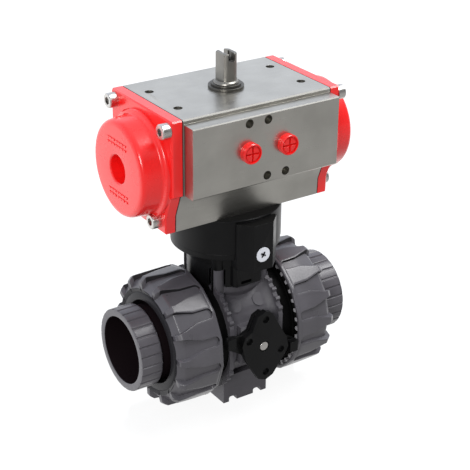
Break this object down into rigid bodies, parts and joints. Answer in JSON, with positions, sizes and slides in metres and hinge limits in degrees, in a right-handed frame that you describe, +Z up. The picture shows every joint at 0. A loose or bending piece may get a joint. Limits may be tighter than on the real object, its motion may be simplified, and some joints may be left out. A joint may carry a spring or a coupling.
{
  "type": "rotary pneumatic actuator on a true union ball valve",
  "caption": "Brushed aluminium rack-and-pinion quarter-turn actuator with red end caps, on a black bracket and a dark grey plastic true union ball valve.",
  "frame": {"origin": "centre of the valve foot's underside, straight under the valve stem", "axes": "+X along the pipe and the actuator, -Y towards the air ports and the nut lock, +Z up along the drive shaft"},
  "size_m": [0.141, 0.0847, 0.2088],
  "materials": {
    "anodised_aluminium": "brushed satin",
    "red_paint": "semi-gloss",
    "red_plastic": "gloss",
    "stainless_screw": "satin",
    "stainless_steel": "turned",
    "spring_steel": "oiled",
    "black_rubber": "matte",
    "white_bearing": "matte",
    "black_plastic": "fine texture",
    "white_plastic": "gloss",
    "grey_pvc": "semi-gloss moulded",
    "brass_insert": "machined",
    "cast_aluminium": "machined"
  },
  "bodies": {
    "fixed": {"actuator_body": "anodised_aluminium", "left_cap_gasket": "black_rubber", "right_cap_gasket": "black_rubber", "left_end_cap": "red_paint", "right_end_cap": "red_paint", "left_cap_screws": "stainless_screw", "right_cap_screws": "stainless_screw", "pinion_lower_bearing": "white_bearing", "pinion_upper_bearing": "white_bearing", "thrust_washer": "stainless_steel", "left_return_spring": "spring_steel", "right_return_spring": "spring_steel", "left_port_plug": "red_plastic", "right_port_plug": "red_plastic", "bracket_upper": "black_plastic", "label_disc": "white_plastic", "bracket_upper_screws": "stainless_screw", "bracket_lower": "black_plastic", "bracket_lower_screws": "stainless_screw", "valve_body": "grey_pvc", "left_ball_seat": "white_bearing", "left_seat_o_ring": "black_rubber", "right_ball_seat": "white_bearing", "right_seat_o_ring": "black_rubber", "seat_carrier": "grey_pvc", "left_end_connector": "grey_pvc", "left_connector_o_ring": "black_rubber", "right_end_connector": "grey_pvc", "right_connector_o_ring": "black_rubber", "lock_base": "black_plastic", "lock_pin": "stainless_screw", "lock_screws": "stainless_screw", "foot_inserts": "brass_insert"},
    "drive": {"pinion_shaft": "stainless_steel", "snap_ring": "stainless_steel", "drive_coupling": "stainless_steel", "valve_stem": "grey_pvc", "stem_o_ring": "black_rubber", "ball": "grey_pvc"},
    "left_piston_set": {"left_piston": "cast_aluminium", "left_piston_o_ring": "black_rubber", "left_piston_guide_band": "white_bearing", "left_rack_wear_pad": "white_bearing"},
    "right_piston_set": {"right_piston": "cast_aluminium", "right_piston_o_ring": "black_rubber", "right_piston_guide_band": "white_bearing", "right_rack_wear_pad": "white_bearing"},
    "left_nut_body": {"left_union_nut": "grey_pvc"},
    "right_nut_body": {"right_union_nut": "grey_pvc"},
    "nut_lock": {"lock_plate": "black_plastic"}
  },
  "joints": [
    {"name": "drive_turn", "type": "hinge", "parent": "fixed", "child": "drive", "pos_m": [0, 0, 0.1551], "axis": [0, 0, 1], "range_deg": [0, 90], "stiffness_Nm_per_rad": 3, "springref_deg": -57.3},
    {"name": "left_piston_travel", "type": "slide", "parent": "fixed", "child": "left_piston_set", "axis": [-1, 0, 0], "range_m": [0, 0.0158], "deforming": ["left_return_spring"]},
    {"name": "right_piston_travel", "type": "slide", "parent": "fixed", "child": "right_piston_set", "axis": [1, 0, 0], "range_m": [0, 0.0158], "deforming": ["right_return_spring"]},
    {"name": "left_nut_turn", "type": "hinge", "parent": "fixed", "child": "left_nut_body", "pos_m": [-0.04, 0, 0.0434], "axis": [1, 0, 0], "continuous": true},
    {"name": "right_nut_turn", "type": "hinge", "parent": "fixed", "child": "right_nut_body", "pos_m": [0.04, 0, 0.0434], "axis": [1, 0, 0], "continuous": true},
    {"name": "lock_turn", "type": "hinge", "parent": "fixed", "child": "nut_lock", "pos_m": [0, -0.04, 0.044], "axis": [0, 1, 0], "range_deg": [0, 20]}
  ],
  "couplings": [
    {"joint": "left_piston_travel", "follows": "drive_turn", "m_per_rad": 0.01},
    {"joint": "right_piston_travel", "follows": "drive_turn", "m_per_rad": 0.01}
  ]
}
